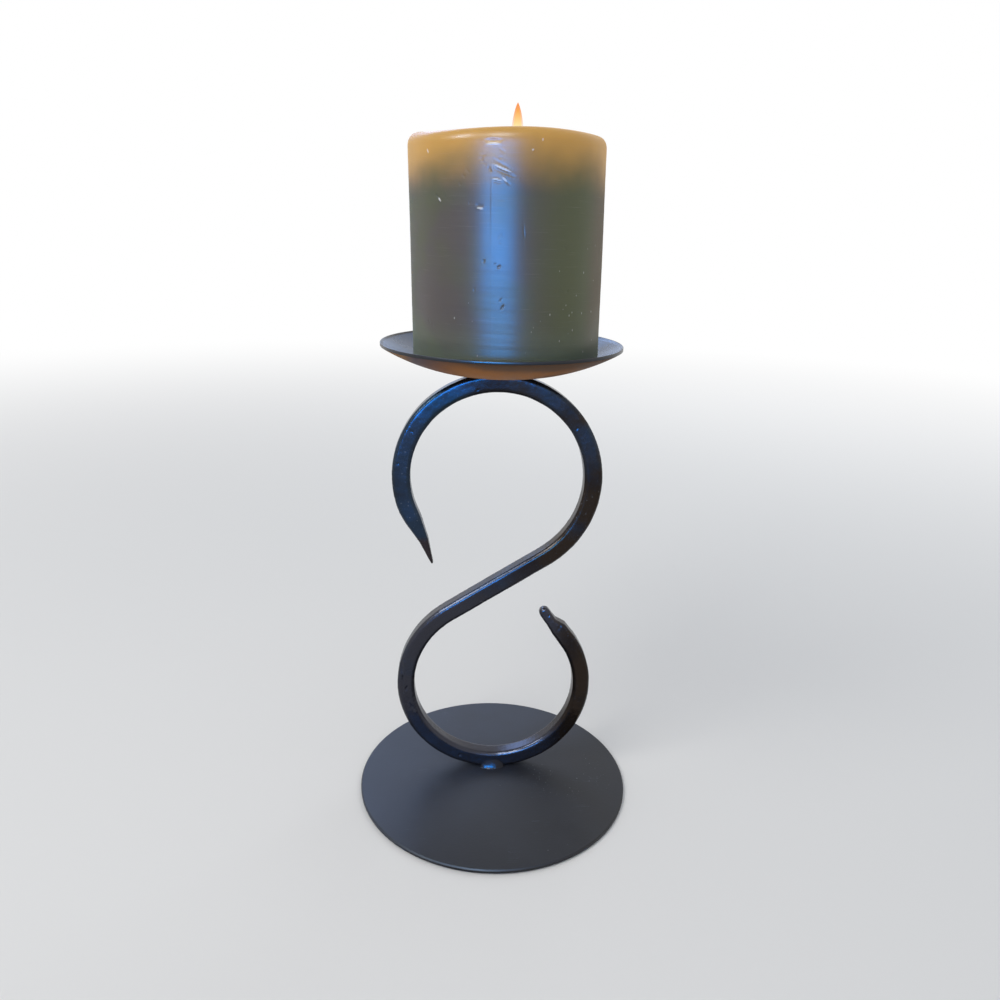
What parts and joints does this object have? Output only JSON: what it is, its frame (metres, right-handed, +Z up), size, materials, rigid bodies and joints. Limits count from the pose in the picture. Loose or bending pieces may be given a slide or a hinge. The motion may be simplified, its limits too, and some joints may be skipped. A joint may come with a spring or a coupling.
{
  "type": "candle holder",
  "caption": "Black forged candle holder: an upright S of square bar welded between a round foot plate and a shallow drip dish, with a pillar candle on a spike.",
  "frame": {"origin": "centre of the foot plate's underside, on the surface that the holder stands on", "axes": "+Z up, +X to the right along the plane of the S, +Y to the back, the side to which the S is set"},
  "size_m": [0.127, 0.127, 0.2929],
  "materials": {
    "plate_coat": "matte black coat, faintly blue grey where it catches the light",
    "forged_bar": "satin black coat over forged steel, with softened edges",
    "weld": "glossy black coat over a weld bead",
    "dish_coat": "satin black coat with a blue grey sheen",
    "wax": "smooth translucent olive wax, honey coloured where the flame shines through",
    "wick": "burnt cotton cord"
  },
  "bodies": {
    "holder": {"base_plate": "plate_coat", "scroll": "forged_bar", "foot_weld_front": "weld", "foot_weld_back": "weld", "drip_dish": "dish_coat", "dish_weld_front": "weld", "dish_weld_back": "weld", "spike": "forged_bar"},
    "candle": {"candle": "wax", "wick": "wick"}
  },
  "joints": [
    {"name": "candle_lift", "type": "slide", "parent": "holder", "child": "candle", "axis": [0, 0, 1], "range_m": [0, 0.06]}
  ]
}
